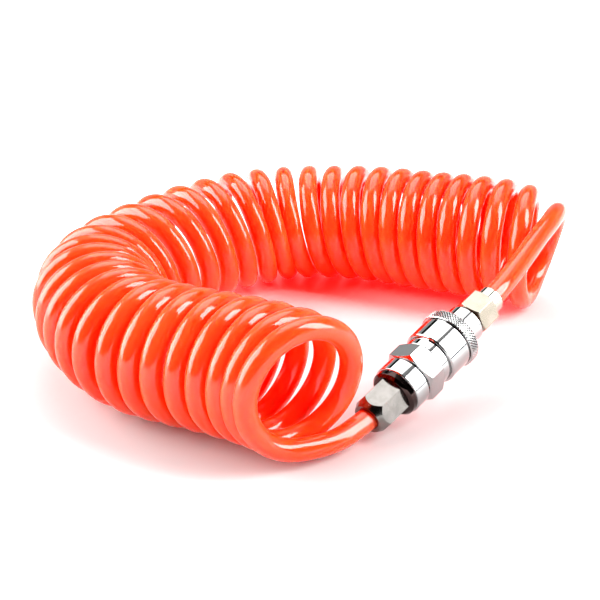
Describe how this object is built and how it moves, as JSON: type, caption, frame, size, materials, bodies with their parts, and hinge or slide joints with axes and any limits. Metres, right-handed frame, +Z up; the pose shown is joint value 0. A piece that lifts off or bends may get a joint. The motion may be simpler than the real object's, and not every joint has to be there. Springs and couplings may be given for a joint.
{
  "type": "coiled air hose",
  "caption": "Coiled polyurethane air hose bent into a deep C, its two ends closed on each other by a chromed quick coupler with a sliding knurled sleeve.",
  "frame": {"origin": "on the floor under the middle of the object's box", "axes": "+Z up; -Y is the side where the coil's socket end comes to the front; +X towards the plug's hose tail"},
  "size_m": [0.213, 0.2044, 0.05],
  "materials": {
    "hose": "glossy translucent orange-red polyurethane",
    "polished_chrome": "polished chrome plate",
    "sleeve_chrome": "polished chrome plate with a knurled band",
    "satin_nickel": "satin nickel plate, slightly pebbled",
    "warm_nickel": "satin nickel plate with a warm tint",
    "spring_steel": "drawn spring wire",
    "ball_steel": "ground bearing steel",
    "brass": "turned brass",
    "black_rubber": "black nitrile rubber"
  },
  "bodies": {
    "hose_and_socket": {"hose_coil": "hose", "hose_tail_socket": "hose", "hose_tail_plug": "hose", "socket_nut": "satin_nickel", "socket_adapter": "polished_chrome", "adapter_gasket": "black_rubber", "socket_body": "polished_chrome", "plug_packing": "black_rubber", "retaining_ring": "spring_steel"},
    "sleeve_carrier": {"sleeve_spring": "spring_steel"},
    "sleeve": {"sleeve": "sleeve_chrome"},
    "valve": {"valve_poppet": "brass", "valve_seal": "black_rubber", "valve_spring": "spring_steel"},
    "plug": {"plug_body": "polished_chrome", "plug_nut": "warm_nickel"},
    "lock_ball_1": {"lock_ball_1": "ball_steel"},
    "lock_ball_2": {"lock_ball_2": "ball_steel"},
    "lock_ball_3": {"lock_ball_3": "ball_steel"},
    "lock_ball_4": {"lock_ball_4": "ball_steel"},
    "lock_ball_5": {"lock_ball_5": "ball_steel"},
    "lock_ball_6": {"lock_ball_6": "ball_steel"}
  },
  "joints": [
    {"name": "sleeve_spin", "type": "hinge", "parent": "hose_and_socket", "child": "sleeve_carrier", "pos_m": [0.04313, -0.03339, 0.02028], "axis": [0.6461, 0.7051, 0.2924], "continuous": true},
    {"name": "sleeve_slide", "type": "slide", "parent": "sleeve_carrier", "child": "sleeve", "axis": [-0.6461, -0.7051, -0.2924], "range_m": [0, 0.0032], "stiffness_N_per_m": 1200, "springref_m": -0.004, "deforming": ["sleeve_spring"]},
    {"name": "valve_slide", "type": "slide", "parent": "hose_and_socket", "child": "valve", "axis": [-0.6461, -0.7051, -0.2924], "range_m": [0, 0.001], "stiffness_N_per_m": 400, "springref_m": -0.004, "deforming": ["valve_spring"]},
    {"name": "plug_swivel", "type": "hinge", "parent": "hose_and_socket", "child": "plug", "pos_m": [0.0496, -0.02634, 0.0232], "axis": [0.6461, 0.7051, 0.2924], "range_deg": [-45, 45]},
    {"name": "ball_1_slide", "type": "slide", "parent": "hose_and_socket", "child": "lock_ball_1", "axis": [0.1975, 0.2156, -0.9563], "range_m": [0, 0.0011]},
    {"name": "ball_2_slide", "type": "slide", "parent": "hose_and_socket", "child": "lock_ball_2", "axis": [-0.5397, 0.6929, -0.4782], "range_m": [0, 0.0011]},
    {"name": "ball_3_slide", "type": "slide", "parent": "hose_and_socket", "child": "lock_ball_3", "axis": [-0.7373, 0.4773, 0.4782], "range_m": [0, 0.0011]},
    {"name": "ball_4_slide", "type": "slide", "parent": "hose_and_socket", "child": "lock_ball_4", "axis": [-0.1975, -0.2156, 0.9563], "range_m": [0, 0.0011]},
    {"name": "ball_5_slide", "type": "slide", "parent": "hose_and_socket", "child": "lock_ball_5", "axis": [0.5397, -0.6929, 0.4782], "range_m": [0, 0.0011]},
    {"name": "ball_6_slide", "type": "slide", "parent": "hose_and_socket", "child": "lock_ball_6", "axis": [0.7373, -0.4773, -0.4782], "range_m": [0, 0.0011]}
  ],
  "couplings": [
    {"joint": "ball_1_slide", "follows": "sleeve_slide", "ratio": 0.34375},
    {"joint": "ball_2_slide", "follows": "sleeve_slide", "ratio": 0.34375},
    {"joint": "ball_3_slide", "follows": "sleeve_slide", "ratio": 0.34375},
    {"joint": "ball_4_slide", "follows": "sleeve_slide", "ratio": 0.34375},
    {"joint": "ball_5_slide", "follows": "sleeve_slide", "ratio": 0.34375},
    {"joint": "ball_6_slide", "follows": "sleeve_slide", "ratio": 0.34375}
  ]
}
